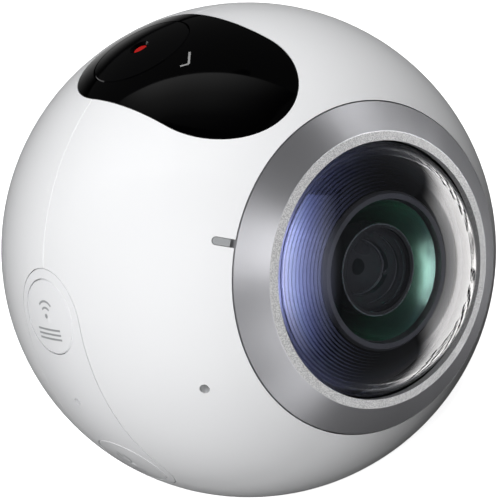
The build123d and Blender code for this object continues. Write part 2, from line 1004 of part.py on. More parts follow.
def chassis():
    """The moulded frame: battery sleeve, two bulkheads, bosses and rails."""
    sleeve = sleeve_box(sleeve_wall)
    plates = [front(bulkhead()), rear(bulkhead())]
    boss = Cylinder(board_boss_radius, board_boss_length, align=high)
    bosses = at_each(board_places(), bulkhead_top, boss)
    feet_length = sleeve_bottom - base_top
    feet = at_each(base_places(), base_top, Cylinder(base_boss_radius, feet_length, align=low))
    body = sleeve + plates + bosses + feet + board_rails()
    body = body & Sphere(inner_radius - running_gap)
    pilot = bulkhead_top - board_screw_length - fit_gap
    holes = screw_holes(board_places(), pilot, bulkhead_top)
    holes += screw_holes(base_places(), base_top, base_top + base_screw_length)
    return body - sleeve_box(0) - holes


def battery():
    """The battery pack, rounded along its long edges."""
    middle = (battery_top + battery_bottom) / 2
    pack = Pos(battery_start, 0, middle) * Box(
        battery_length,
        battery_width,
        battery_thickness,
        align=(Align.MIN, Align.CENTER, Align.CENTER),
    )
    return fillet(pack.edges().filter_by(Axis.X), battery_corner)


def battery_contacts():
    """The contacts on the sleeve's end wall."""
    middle = (battery_top + battery_bottom) / 2
    contact = Box(
        contact_length, contact_width, contact_height, align=(Align.MIN, Align.CENTER, Align.CENTER)
    )
    middle_turn = (contact_count - 1) / 2
    ys = [(turn - middle_turn) * contact_spacing for turn in range(contact_count)]
    return Compound(children=[Pos(sleeve_start, y, middle) * contact for y in ys])


def main_board():
    """The main board with its processor, resting on the bulkheads."""
    board = Pos(0, 0, bulkhead_top) * Box(
        main_board_width, main_board_length, board_thickness, align=low
    )
    chip = Pos(0, -chip_size / 3, board_top) * Box(chip_size, chip_size, chip_thickness, align=low)
    return board + chip - screw_holes(board_places(), bulkhead_top, board_top)


def standoff_places():
    """Where the pillars between the two boards stand."""
    x = top_board_width / 2 - standoff_radius - fit_gap
    rear_y = top_board_rear - standoff_radius - fit_gap
    front_y = standoff_radius + fit_gap - top_board_front
    return [(x, rear_y), (-x, rear_y), (x, front_y), (-x, front_y)]


def board_standoffs():
    """Four pillars from the main board to the top board."""
    pillar = Cylinder(standoff_radius, top_board_level - board_top, align=low)
    return Compound(children=at_each(standoff_places(), board_top, pillar))


def top_board():
    """The board under the round key and the display."""
    length = top_board_front + top_board_rear
    middle = (top_board_rear - top_board_front) / 2
    return Pos(0, middle, top_board_level) * Box(
        top_board_width, length, top_board_thickness, align=low
    )


def ok_switch():
    """The switch under the round key."""
    return switch(switch_size, switch_height, top_board_level + top_board_thickness)


def buzzer():
    """The small round sounder on the main board."""
    y = main_board_length / 2 - buzzer_radius - fit_gap
    return Pos(0, y, board_top) * Cylinder(buzzer_radius, buzzer_height, align=low)


# Card and plug sockets


def port_board():
    """The small board behind the door, resting on the chassis rails."""
    length = port_board_outer - port_board_inner
    width = 2 * (bulkhead_back - fit_gap)
    return Pos(port_board_inner, 0, port_board_level) * Box(
        length, width, port_board_thickness, align=(Align.MIN, Align.CENTER, Align.MIN)
    )


def card_level():
    """The middle of the card's thickness."""
    top = port_board_level + port_board_thickness
    return top + socket_wall + card_gap + card_thickness / 2


def card_start():
    """The card's inner end at rest."""
    return port_board_inner + 2 * socket_wall + card_push + card_gap


def memory_card():
    """The memory card, standing a little out of its socket."""
    return Pos(card_start(), 0, card_level()) * Box(
        card_length, card_width, card_thickness, align=(Align.MIN, Align.CENTER, Align.CENTER)
    )


def card_socket():
    """The card's socket, open towards the door."""
    start = port_board_inner + socket_wall
    end = card_start() + card_length - card_proud
    width = card_width + 2 * (card_gap + socket_wall)
    height = card_thickness + 2 * (card_gap + socket_wall)
    align = (Align.MIN, Align.CENTER, Align.CENTER)
    case = Pos(start, 0, card_level()) * Box(end - start, width, height, align=align)
    room = Pos(start + socket_wall, 0, card_level()) * Box(
        card_length, card_width + 2 * card_gap, card_thickness + 2 * card_gap, align=align
    )
    return case - room


def plug_socket():
    """The charging socket under the small board, with its contact tongue."""
    align = (Align.MAX, Align.CENTER, Align.CENTER)
    middle = port_board_level - plug_height / 2
    outer = Box(plug_depth, plug_width, plug_height, align=align)
    outer = fillet(outer.edges().filter_by(Axis.X), plug_height / 3)
    room_width = plug_width - 2 * plug_wall
    room_height = plug_height - 2 * plug_wall
    room = Box(plug_depth - plug_wall, room_width, room_height, align=align)
    room = fillet(room.edges().filter_by(Axis.X), room_height / 3)
    tongue = Box(plug_depth - plug_wall, plug_tongue_width, plug_tongue_thickness, align=align)
    tongue = Pos(-plug_wall, 0, 0) * tongue
    return Pos(port_board_outer, 0, middle) * (outer - room + tongue)


# Base


def base_plate():
    """The round plate in the flat bottom, held from inside by its flange."""
    plate = disc(base_hole_radius - fit_gap, bottom, floor_top)
    flange = disc(base_flange_radius, floor_top, base_top)
    groove = disc(foot_outer, bottom - overrun, bottom + foot_groove)
    groove = groove - Cylinder(foot_inner, 3 * body_radius)
    hole = Cylinder(nut_radius + fit_gap / 2, 3 * body_radius)
    start = bottom + foot_groove
    sinks = at_each(
        base_places(),
        start,
        Cylinder(screw_head_radius + screw_gap, screw_head_height + fit_gap, align=low),
    )
    return plate + flange - groove - hole - sinks - screw_holes(base_places(), start, base_top)


def base_foot():
    """The rubber ring that the camera stands on."""
    gap = fit_gap / 2
    ring = disc(foot_outer - gap, -centre_height, bottom + foot_groove)
    return ring - Cylinder(foot_inner + gap, 3 * body_radius)


def tripod_nut():
    """The threaded metal bush for a tripod screw."""
    collar_end = base_top + nut_collar_thickness
    body = disc(nut_radius, -centre_height, base_top)
    collar = disc(nut_collar_radius, base_top, collar_end)
    top = disc(nut_top_radius, collar_end, nut_height - centre_height)
    return body + collar + top - Cylinder(thread_radius, 3 * body_radius)


# Screws


def screw(length):
    """A pan screw whose head stands on height zero."""
    head = Cylinder(screw_head_radius, screw_head_height, align=low)
    return head + Cylinder(screw_shank, length, align=high)


def shell_screws():
    """Eight screws that hold the shells to the chassis, hidden by the lens rings."""
    ring = at_each(round_places(post_ring, right_angle / 2, 4), ledge_top, screw(shell_screw_length))
    return Compound(children=[turn(piece) for turn in (front, rear) for piece in ring])


def lens_screws():
    """Eight screws that hold the barrels to the bulkheads."""
    level = bulkhead_face + barrel_flange_thickness
    ring = at_each(round_places(lens_screw_ring, 0, 4), level, screw(lens_screw_length))
    return Compound(children=[turn(piece) for turn in (front, rear) for piece in ring])


def board_screws():
    """Four screws through the main board."""
    length = board_screw_length + board_thickness
    return Compound(children=at_each(board_places(), board_top, screw(length)))


def base_screws():
    """Three screws from below, covered by the rubber foot."""
    level = bottom + foot_groove + screw_head_height + fit_gap
    piece = Rot(half_turn, 0, 0) * screw(base_screw_length)
    return Compound(children=at_each(base_places(), level, piece))


def lens_pieces(side, turn):
    """One lens's pieces, named for the side that they look out of."""
    return {
        f"{side}_lens_ring": turn(lens_ring()),
        f"{side}_ring_seal": turn(ring_seal()),
        f"{side}_dome_lens": turn(dome_lens()),
        f"{side}_light_baffle": turn(light_baffle()),
        f"{side}_retaining_ring": turn(retaining_ring()),
        f"{side}_lens_cell": turn(lens_cell()),
        f"{side}_inner_lens": turn(inner_lens()),
        f"{side}_lens_barrel": turn(lens_barrel()),
        f"{side}_image_sensor": turn(image_sensor()),
    }


def shell_pieces():
    """The shells, the door and what the wall carries."""
    shell, cuts = whole_shell()
    return {
        "front_shell": front_shell(shell),
        "rear_shell": rear_shell(shell, cuts),
        "top_panel": top_panel(),
        "side_panel": side_panel(),
        "battery_door": battery_door(),
        "door_seal": door_seal(),
        "door_hinge_pin": door_hinge_pin(),
        "front_status_light": front(status_light()),
        "rear_status_light": mirror(front(status_light()), about=Plane.XZ),
        "microphones": microphones(),
        "base_plate": base_plate(),
        "base_foot": base_foot(),
        "tripod_nut": tripod_nut(),
    }


def button_pieces():
    """The keys and what they press."""
    upper, lower = side_button_turns()
    return {
        "ok_button": button(ok_radius, ok_flange) - lamp_bore(),
        "record_lamp": record_lamp(),
        "ok_switch": ok_switch(),
        "display_module": display_block(0),
        "menu_button": side_button(upper),
        "back_button": side_button(lower),
        "menu_switch": side_switch(upper),
        "back_switch": side_switch(lower),
        "side_board": side_board(),
        "switch_bracket": switch_bracket(),
    }


def inner_pieces():
    """The chassis and what it carries."""
    return {
        "chassis": chassis(),
        "battery": battery(),
        "battery_contacts": battery_contacts(),
        "main_board": main_board(),
        "board_standoffs": board_standoffs(),
        "top_board": top_board(),
        "buzzer": buzzer(),
        "port_board": port_board(),
        "card_socket": card_socket(),
        "memory_card": memory_card(),
        "plug_socket": plug_socket(),
        "shell_screws": shell_screws(),
        "lens_screws": lens_screws(),
        "board_screws": board_screws(),
        "base_screws": base_screws(),
    }


pieces = {}
pieces.update(lens_pieces("front", front))
pieces.update(lens_pieces("rear", rear))
pieces.update(shell_pieces())
pieces.update(button_pieces())
pieces.update(inner_pieces())

os.makedirs("parts", exist_ok=True)
for name, piece in pieces.items():
    export_step(Pos(0, 0, centre_height) * piece, f"parts/{name}.step")
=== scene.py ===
import json
import math

import bmesh
import bpy
from mathutils import Matrix, Vector


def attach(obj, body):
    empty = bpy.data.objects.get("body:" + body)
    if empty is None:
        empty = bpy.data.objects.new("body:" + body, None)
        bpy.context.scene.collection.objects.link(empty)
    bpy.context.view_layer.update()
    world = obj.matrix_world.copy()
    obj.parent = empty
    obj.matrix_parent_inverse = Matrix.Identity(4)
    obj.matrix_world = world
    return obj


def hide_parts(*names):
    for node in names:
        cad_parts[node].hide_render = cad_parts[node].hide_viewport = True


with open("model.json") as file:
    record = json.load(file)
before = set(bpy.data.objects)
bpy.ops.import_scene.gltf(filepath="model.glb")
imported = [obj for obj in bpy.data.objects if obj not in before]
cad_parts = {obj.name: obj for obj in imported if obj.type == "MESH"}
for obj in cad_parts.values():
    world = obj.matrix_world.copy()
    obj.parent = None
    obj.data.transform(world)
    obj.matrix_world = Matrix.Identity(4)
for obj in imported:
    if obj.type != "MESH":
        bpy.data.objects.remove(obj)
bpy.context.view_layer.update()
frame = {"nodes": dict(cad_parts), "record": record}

MM = 0.001

# The two lenses, and which way each looks along Y
SIDES = {"front": -1, "rear": 1}

# Sizes of the ball and the lenses, as the part has them
BALL = 30.0 * MM
CENTRE = Vector((0, 0, 26.2 * MM))
BEZEL_OUTER = 16.15 * MM
BAFFLE_OUTER = 13.6 * MM
BAFFLE_INNER = 9.05 * MM

# The outer glass: its curve and wall, how far out the curve's centre lies, and its edge and seat
DOME_CURVE = 16.95 * MM
DOME_WALL = 1.4 * MM
DOME_CENTRE = 16.4 * MM
DOME_EDGE = 14.9 * MM
DOME_SEAT = 22.4 * MM

# The coated cup round the inner lens: its curve, the curve's centre, and its two edges
CUP_CURVE = 8.46 * MM
CUP_CENTRE = 28.3 * MM
CUP_INNER = 5.4 * MM
CUP_OUTER = 8.0 * MM

# The black tower: its top, the radius and height of its steps in millimetres, and the beads on them
CELL_TOP = 24.75 * MM
CELL_RIM = CUP_INNER - 0.15 * MM
CELL_STEPS = ((4.07, 23.12), (3.3, 22.49), (2.47, 21.92))
BEAD = 0.09 * MM
BEADS = len(CELL_STEPS) + 1

# The quarter inch thread in the base: its crest and flanks are shares of the pitch
THREAD_OUTER = 3.19 * MM
THREAD_INNER = 2.6 * MM
THREAD_PITCH = 1.27 * MM
THREAD_START = 0.1 * MM
THREAD_TOP = 5.5 * MM
THREAD_CREST = (0.42, 0.58)
THREAD_FLANKS = 0.9

# Printed signs lie this far above the keys, and are cut into steps in millimetres to follow the ball
INK_LIFT = 0.012 * MM
INK_STEP = 0.35

# The photograph's view, in degrees: from the front lens towards the side keys, above the level, and rolled
VIEW_TURN = 29.11
VIEW_RISE = 25.02
VIEW_ROLL = -28.39
VIEW = (
    Matrix.Rotation(math.radians(-VIEW_TURN), 3, "Z")
    @ Matrix.Rotation(math.radians(90 - VIEW_RISE), 3, "X")
    @ Matrix.Rotation(math.radians(VIEW_ROLL), 3, "Z")
)
RIGHT, UP, BACK = (column.copy() for column in VIEW.col)
CAMERA_DISTANCE = 0.429
CAMERA_SHIFT_RIGHT = 0.163 * MM
CAMERA_SHIFT_UP = -0.032 * MM
CAMERA_LENS = 254.3
SENSOR = 36.0

# How far the lamps and cards stand from the ball, in metres
LAMP_DISTANCE = 0.6
OVERHEAD_DISTANCE = LAMP_DISTANCE * 0.8
SHEEN_SIZE = 0.25
WORLD_STRENGTH = 0.037
FLOOR_GLOW = 0.8
FLOOR_HALF = 3.0

# Soft lamps: name, degrees right of the camera, degrees above it, size in metres, and watts
FILLS = (
    ("low_fill", -20, -25, 0.8, 4.2),
    ("front_fill", -20, 10, 0.8, 0.8),
    ("left_fill", -60, 10, 0.8, 1.3),
    ("top_fill", 10, 80, 0.8, 3.7),
    ("rear_fill", 180, 10, 0.3, 3.0),
)

# Lamps for the brushed rings: degrees right of the camera, degrees above it, and watts
SHEENS = (
    (-45, 0, 0.65),
    (-45, 30, 0.1),
    (15, -30, 0.3),
    (15, 0, 1.1),
    (45, -60, 0.3),
    (45, -30, 0.65),
    (75, 0, 2.6),
    (75, 60, 0.3),
    (105, 0, 0.5),
    (105, 30, 0.3),
    (105, 60, 0.3),
)


# Camera, lights and floor


def add_camera():
    """A long lens that takes the whole ball from above its front left, rolled as it lies."""
    data = bpy.data.cameras.new("photo_camera")
    data.lens = CAMERA_LENS
    data.sensor_width = SENSOR
    data.clip_start = 0.01
    camera = bpy.data.objects.new("photo_camera", data)
    place = CENTRE + BACK * CAMERA_DISTANCE + RIGHT * CAMERA_SHIFT_RIGHT + UP * CAMERA_SHIFT_UP
    camera.matrix_world = Matrix.Translation(place) @ VIEW.to_4x4()
    bpy.context.scene.collection.objects.link(camera)
    bpy.context.scene.camera = camera


def from_camera(turn, rise):
    """The direction so many degrees to the right of the camera and above it."""
    turn, rise = math.radians(turn), math.radians(rise)
    return (RIGHT * math.sin(turn) + BACK * math.cos(turn)) * math.cos(rise) + UP * math.sin(rise)


def receivers(name, nodes, all_but=False):
    """The pieces that a lamp lights, or all but those."""
    group = bpy.data.collections.new(name)
    for node in nodes:
        group.objects.link(bpy.data.objects[node])
    if all_but:
        for entry in group.collection_objects:
            entry.light_linking.link_state = "EXCLUDE"
    return group


def add_softbox(
    name, turn, rise, width, power, lit, height=None, colour=(1, 1, 1), reflected=True, shadow=True
):
    """A studio lamp that faces the ball and lights one group of pieces."""
    data = bpy.data.lights.new(name, "AREA")
    data.shape = "RECTANGLE"
    data.size = width
    data.size_y = height or width
    data.energy = power
    data.color = colour
    data.use_shadow = shadow
    lamp = bpy.data.objects.new(name, data)
    direction = from_camera(turn, rise)
    side = UP.cross(direction).normalized()
    upright = direction.cross(side)
    facing = Matrix((side, upright, direction)).transposed().to_4x4()
    lamp.matrix_world = Matrix.Translation(CENTRE + direction * LAMP_DISTANCE) @ facing
    lamp.visible_glossy = reflected
    lamp.visible_transmission = reflected
    lamp.visible_camera = False
    lamp.light_linking.receiver_collection = lit
    bpy.context.scene.collection.objects.link(lamp)


def card_light(name, strength, stops, ends, end_tint=(1, 1, 1)):
    """Soft light coloured from a card's first edge to its last, and faded over a share of each end."""
    material = bpy.data.materials.new(name)
    material.use_nodes = True
    tree = material.node_tree
    tree.nodes.clear()
    split = tree.nodes.new("ShaderNodeSeparateXYZ")
    tree.links.new(tree.nodes.new("ShaderNodeUVMap").outputs["UV"], split.inputs[0])
    ramp = colour_ramp(tree, split.outputs["X"], stops)
    along = math_node(tree, "ABSOLUTE", math_node(tree, "SUBTRACT", split.outputs["Y"], 0.5))
    fade = tree.nodes.new("ShaderNodeMapRange")
    fade.interpolation_type = "SMOOTHSTEP"
    for label, value in (("From Min", 0.5), ("From Max", 0.5 - ends), ("To Min", 0.0), ("To Max", strength)):
        fade.inputs[label].default_value = value
    tree.links.new(along, fade.inputs["Value"])
    tint = tree.nodes.new("ShaderNodeMix")
    tint.data_type = "RGBA"
    tint.blend_type = "MULTIPLY"
    tree.links.new(math_node(tree, "MULTIPLY", along, 2.0), tint.inputs["Factor"])
    tree.links.new(ramp, tint.inputs["A"])
    tint.inputs["B"].default_value = (*end_tint, 1)
    glow = tree.nodes.new("ShaderNodeEmission")
    tree.links.new(tint.outputs["Result"], glow.inputs["Color"])
    tree.links.new(fade.outputs["Result"], glow.inputs["Strength"])
    end = tree.nodes.new("ShaderNodeOutputMaterial")
    tree.links.new(glow.outputs["Emission"], end.inputs["Surface"])
    return material


def add_card(name, spot, light, lit):
    """A glowing card that only these pieces mirror. Its points come from spot(across, along)."""
    columns, rows = 24, 16
    points, faces, places = [], [], []
    for row in range(rows + 1):
        for column in range(columns + 1):
            points.append(spot(column / columns, row / rows))
            places.append((column / columns, row / rows))
    wide = columns + 1
    for row in range(rows):
        for column in range(columns):
            first = row * wide + column
            faces.append((first, first + 1, first + wide + 1, first + wide))
    card = add_mesh(name, points, faces)
    layer = card.data.uv_layers.new(name="UVMap")
    for loop in card.data.loops:
        layer.data[loop.index].uv = places[loop.vertex_index]
    card.data.materials.append(light)
    card.visible_camera = False
    card.visible_diffuse = False
    card.visible_shadow = False
    card.visible_transmission = False
    card.light_linking.receiver_collection = lit


def curved(near, far, low, high):
    """Places on a curved card between two turns and two rises from the camera."""

    def spot(across, along):
        turn = near + (far - near) * across
        return CENTRE + from_camera(turn, low + (high - low) * along) * LAMP_DISTANCE

    return spot


def overhead(first, second, depth):
    """Places on a flat card over the ball, inward from the straight edge between two (right, back) ends."""
    along_edge = Vector(second) - Vector(first)
    inward = Vector((-along_edge.y, along_edge.x)).normalized() * depth

    def spot(across, along):
        right, back = Vector(first) + along_edge * along + inward * across
        return CENTRE + (UP + RIGHT * right + BACK * back) * OVERHEAD_DISTANCE

    return spot


def add_glass_cards():
    """Curved cards that the two domes mirror, and cards for the display window and its key."""
    left = (
        (0.0, (0, 0, 0)),
        (0.07, (0.02, 0.02, 0.02)),
        (0.21, (0.14, 0.14, 0.17)),
        (0.39, (0.22, 0.24, 0.43)),
        (0.49, (0.36, 0.4, 0.69)),
        (0.57, (0.55, 0.61, 0.88)),
        (0.69, (0.9, 0.86, 0.97)),
        (1.0, (0.95, 0.92, 1.0)),
    )
    right = (
        (0.0, (0, 0, 0)),
        (0.15, (0.06, 0.058, 0.055)),
        (0.165, (0.3, 0.285, 0.265)),
        (0.32, (0.5, 0.48, 0.45)),
        (0.35, (1.0, 0.95, 0.9)),
        (0.65, (0.72, 0.7, 0.68)),
        (1.0, (0.3, 0.29, 0.28)),
    )
    fading = (
        (0.0, (1, 1, 1)),
        (0.3, (0.45, 0.45, 0.45)),
        (0.65, (0.12, 0.12, 0.12)),
        (1.0, (0, 0, 0)),
    )
    even = ((0.0, (1, 1, 1)), (1.0, (1, 1, 1)))
    left_light = card_light("left_card", 5.6, left, ends=0.45, end_tint=(0.6, 0.66, 1.0))
    right_light = card_light("right_card", 4.4, right, ends=0.2)
    top_light = card_light("top_card", 0.6, fading, ends=0.4)
    far_light = card_light("far_card", 1.0, even, ends=0.5)
    domes = receivers("domes_lit", [f"{side}_dome" for side in SIDES])
    panel = receivers("panel_lit", ("top_panel", "ok_button"))
    add_card("left_card", curved(near=8, far=-62, low=-80, high=88), left_light, domes)
    add_card("right_card", curved(near=84, far=172, low=-42, high=38), right_light, domes)
    add_card("top_card", overhead((-1.0, -0.29), (0.3, 0.23), depth=0.7), top_light, panel)
    add_card("far_card", curved(near=-110, far=-220, low=-30, high=36), far_light, panel)


def add_inner_lamps():
    """Lamps without shadows for what lies behind the domes: ridges, coated cups and towers."""
    cells = []
    for side in SIDES:
        cells += [f"{side}_cell_bead_{number + 1}" for number in range(BEADS)]
        cells += [f"{side}_{part}" for part in ("lens_cell", "retaining_ring", "inner_lens")]
    baffles = receivers("baffles_lit", [f"{side}_light_baffle" for side in SIDES])
    cups = receivers("cups_lit", [f"{side}_lens_cup" for side in SIDES])
    towers = receivers("cells_lit", cells)
    violet, warm_white, pale_blue = (0.5, 0.55, 1.0), (1.0, 1.0, 0.95), (0.85, 0.88, 1.0)
    add_softbox("ridge_lamp", -85, 0, 0.3, 10.0, baffles, colour=violet, shadow=False)
    add_softbox("soft_ridge_lamp", 30, 20, 0.5, 0.15, baffles, shadow=False)
    add_softbox("cup_lamp", -56, 0, 0.07, 8.0, cups, height=0.8, colour=warm_white, shadow=False)
    add_softbox("cell_lamp", -30, 30, 0.3, 0.8, towers, shadow=False)
    add_softbox("cell_side_lamp", 85, -10, 0.3, 0.8, towers, colour=pale_blue, shadow=False)


def add_outer_lamps():
    """Soft fills for the ball and its fittings, and small lamps for the two metal rings."""
    rings = [f"{side}_lens_ring" for side in SIDES]
    rings_lit = receivers("rings_lit", rings)
    rings_unlit = receivers("rings_unlit", rings, all_but=True)
    for name, turn, rise, size, power in FILLS:
        add_softbox(name, turn, rise, size, power, rings_unlit, reflected=False)
    for turn, rise, power in SHEENS:
        add_softbox(f"sheen_{turn}_{rise}", turn, rise, SHEEN_SIZE, power, rings_lit)


def add_world():
    """A dim, even surrounding."""
    world = bpy.data.worlds.new("studio")
    world.use_nodes = True
    world.node_tree.nodes["Background"].inputs["Color"].default_value = (1, 1, 1, 1)
    world.node_tree.nodes["Background"].inputs["Strength"].default_value = WORLD_STRENGTH
    bpy.context.scene.world = world


def add_floor():
    """A plain pale floor, left out of reflections so that the glass stays dark."""
    half = FLOOR_HALF
    corners = [(-half, -half, 0), (half, -half, 0), (half, half, 0), (-half, half, 0)]
    floor = add_mesh("floor", corners, [(0, 1, 2, 3)])
    floor.data.materials.append(floor_paper())
    floor.visible_glossy = False
    floor.visible_diffuse = False
    floor.visible_transmission = False


# Meshes and shader nodes


def add_mesh(name, points, faces, smooth=False):
    """A mesh object from points and faces."""
    mesh = bpy.data.meshes.new(name)
    mesh.from_pydata([tuple(point) for point in points], [], faces)
    mesh.validate()
    if smooth:
        mesh.shade_smooth()
    piece = bpy.data.objects.new(name, mesh)
    bpy.context.scene.collection.objects.link(piece)
    return piece


def new_group(name, inputs, outputs):
    """An empty node group with named sockets, and its two end nodes."""
    group = bpy.data.node_groups.new(name, "ShaderNodeTree")
    for label, kind, value in inputs:
        socket = group.interface.new_socket(label, in_out="INPUT", socket_type=kind)
        if value is not None:
            socket.default_value = value
    for label, kind in outputs:
        group.interface.new_socket(label, in_out="OUTPUT", socket_type=kind)
    return group, group.nodes.new("NodeGroupInput"), group.nodes.new("NodeGroupOutput")


def math_node(tree, operation, first, second=None):
    """A Math node fed by sockets or numbers, and its result."""
    node = tree.nodes.new("ShaderNodeMath")
    node.operation = operation
    for socket, value in zip(node.inputs, (first, second)):
        if value is None:
            continue
        if isinstance(value, (int, float)):
            socket.default_value = value
        else:
            tree.links.new(value, socket)
    return node.outputs[0]


def noise(tree, vector, scale, detail=2.0):
    """Noise between 0 and 1."""
    node = tree.nodes.new("ShaderNodeTexNoise")
    node.inputs["Detail"].default_value = detail
    tree.links.new(vector, node.inputs["Vector"])
    if isinstance(scale, (int, float)):
        node.inputs["Scale"].default_value = scale
    else:
        tree.links.new(scale, node.inputs["Scale"])
    return node.outputs["Fac"]


def build_grain():
    """Fine moulded or blasted grain: a normal, and a roughness that drifts in slow patches."""
    grain_height = 0.02 * MM
    patches_per_metre = 140.0
    group, start, end = new_group(
        "surface_grain",
        [
            ("Vector", "NodeSocketVector", None),
            ("Grains per metre", "NodeSocketFloat", 3000.0),
            ("Depth", "NodeSocketFloat", 0.1),
            ("Roughness", "NodeSocketFloat", 0.4),
            ("Unevenness", "NodeSocketFloat", 0.05),
        ],
        [("Normal", "NodeSocketVector"), ("Roughness", "NodeSocketFloat")],
    )
    fine = noise(group, start.outputs["Vector"], start.outputs["Grains per metre"], 3.0)
    bump = group.nodes.new("ShaderNodeBump")
    bump.inputs["Distance"].default_value = grain_height
    group.links.new(start.outputs["Depth"], bump.inputs["Strength"])
    group.links.new(fine, bump.inputs["Height"])
    group.links.new(bump.outputs["Normal"], end.inputs["Normal"])
    slow = noise(group, start.outputs["Vector"], patches_per_metre, 3.0)
    either_way = math_node(group, "SUBTRACT", slow, 0.5)
    swing = math_node(group, "MULTIPLY", either_way, start.outputs["Unevenness"])
    group.links.new(math_node(group, "ADD", start.outputs["Roughness"], swing), end.inputs["Roughness"])
    return group


def build_tone():
    """A slow, faint change of colour over a surface."""
    group, start, end = new_group(
        "slow_tone",
        [
            ("Vector", "NodeSocketVector", None),
            ("Colour", "NodeSocketColor", (0.5, 0.5, 0.5, 1)),
            ("Other colour", "NodeSocketColor", (0.5, 0.5, 0.5, 1)),
            ("Patches per metre", "NodeSocketFloat", 90.0),
        ],
        [("Colour", "NodeSocketColor")],
    )
    patches = noise(group, start.outputs["Vector"], start.outputs["Patches per metre"], 2.0)
    mix = group.nodes.new("ShaderNodeMix")
    mix.data_type = "RGBA"
    group.links.new(patches, mix.inputs["Factor"])
    group.links.new(start.outputs["Colour"], mix.inputs["A"])
    group.links.new(start.outputs["Other colour"], mix.inputs["B"])
    group.links.new(mix.outputs["Result"], end.inputs["Colour"])
    return group


def new_material(name):
    """A material, its node tree, its shader and its own coordinates."""
    material = bpy.data.materials.new(name)
    material.use_nodes = True
    tree = material.node_tree
    place = tree.nodes.new("ShaderNodeTexCoord").outputs["Object"]
    return material, tree, tree.nodes["Principled BSDF"], place


def place_group(tree, group, vector, **values):
    """A node group set into a material with its own values."""
    node = tree.nodes.new("ShaderNodeGroup")
    node.node_tree = group
    tree.links.new(vector, node.inputs["Vector"])
    for label, value in values.items():
        node.inputs[label.replace("_", " ")].default_value = value
    return node


def finish(name, colour, other, roughness, grain=3000.0, depth=0.1, unevenness=0.05, **sockets):
    """A finish from its two colours, roughness, grains per metre, and the grain's depth and unevenness."""
    material, tree, shader, place = new_material(name)
    tone = place_group(tree, TONE, place, Colour=(*colour, 1), Other_colour=(*other, 1))
    tree.links.new(tone.outputs["Colour"], shader.inputs["Base Color"])
    skin = place_group(
        tree,
        GRAIN,
        place,
        Grains_per_metre=grain,
        Depth=depth,
        Roughness=roughness,
        Unevenness=unevenness,
    )
    tree.links.new(skin.outputs["Normal"], shader.inputs["Normal"])
    tree.links.new(skin.outputs["Roughness"], shader.inputs["Roughness"])
    for label, value in sockets.items():
        shader.inputs[label.replace("_", " ")].default_value = value
    return material


def colour_ramp(tree, value, stops):
    """Colours read off a ramp of (place, colour) stops."""
    ramp = tree.nodes.new("ShaderNodeValToRGB")
    elements = ramp.color_ramp.elements
    elements[0].position, elements[0].color = stops[0][0], (*stops[0][1], 1)
    elements[1].position, elements[1].color = stops[-1][0], (*stops[-1][1], 1)
    for place, colour in stops[1:-1]:
        elements.new(place).color = (*colour, 1)
    tree.links.new(value, ramp.inputs["Fac"])
    return ramp.outputs["Color"]


def mix_colours(tree, mask, first, second):
    """Two colours or sockets mixed by a mask."""
    mix = tree.nodes.new("ShaderNodeMix")
    mix.data_type = "RGBA"
    tree.links.new(mask, mix.inputs["Factor"])
    for label, value in (("A", first), ("B", second)):
        if isinstance(value, tuple):
            mix.inputs[label].default_value = (*value, 1)
        else:
            tree.links.new(value, mix.inputs[label])
    return mix.outputs["Result"]


def axis_distance(tree, place):
    """Distance from the lenses' axis."""
    shift = tree.nodes.new("ShaderNodeVectorMath")
    shift.operation = "SUBTRACT"
    shift.inputs[1].default_value = CENTRE
    tree.links.new(place, shift.inputs[0])
    split = tree.nodes.new("ShaderNodeSeparateXYZ")
    tree.links.new(shift.outputs[0], split.inputs[0])
    square = math_node(
        tree,
        "ADD",
        math_node(tree, "MULTIPLY", split.outputs["X"], split.outputs["X"]),
        math_node(tree, "MULTIPLY", split.outputs["Z"], split.outputs["Z"]),
    )
    return math_node(tree, "SQRT", square)


# Finishes


def floor_paper():
    """Matt white paper, lit a little from below."""
    return finish(
        "floor_paper", (0.95, 0.95, 0.95), (0.93, 0.93, 0.93), 0.9, 400.0, 0.02,
        Emission_Color=(1, 1, 1, 1), Emission_Strength=FLOOR_GLOW,
    )


def ring_metal():
    """Satin metal turned round the lens, with a bezel cut at its inner edge whose colour is painted with
    random bright flecks that stand in for its glints.
    """
    material, tree, shader, place = new_material("ring_metal")
    satin_colour, cut_shade, painted_glint_colour = (0.62, 0.62, 0.65), (0.6, 0.6, 0.61), (0.9, 0.9, 0.9)
    satin_metal, bezel_roughness = 0.7, 0.2
    painted_glints_per_metre = 8000.0
    bezel = math_node(tree, "LESS_THAN", axis_distance(tree, place), BEZEL_OUTER)
    satin = place_group(
        tree, GRAIN, place, Grains_per_metre=9000.0, Depth=0.2, Roughness=0.42, Unevenness=0.05
    )
    # Painted glints: random bright flecks in the bezel's colour stand in for the sparkle of its cut facets.
    painted_glint_mask = math_node(tree, "GREATER_THAN", noise(tree, place, painted_glints_per_metre, 1.0), 0.5)
    cut = mix_colours(tree, painted_glint_mask, cut_shade, painted_glint_colour)
    tree.links.new(mix_colours(tree, bezel, satin_colour, cut), shader.inputs["Base Color"])
    rougher = math_node(tree, "MULTIPLY", bezel, bezel_roughness)
    rough = math_node(tree, "ADD", satin.outputs["Roughness"], rougher)
    tree.links.new(rough, shader.inputs["Roughness"])
    tree.links.new(satin.outputs["Normal"], shader.inputs["Normal"])
    metal = math_node(tree, "SUBTRACT", satin_metal, math_node(tree, "MULTIPLY", bezel, satin_metal))
    tree.links.new(metal, shader.inputs["Metallic"])
    shader.inputs["Anisotropic"].default_value = 0.8
    shader.inputs["Anisotropic Rotation"].default_value = 0.25
    around = tree.nodes.new("ShaderNodeTangent")
    around.direction_type = "RADIAL"
    around.axis = "Y"
    tree.links.new(around.outputs["Tangent"], shader.inputs["Tangent"])
    return material


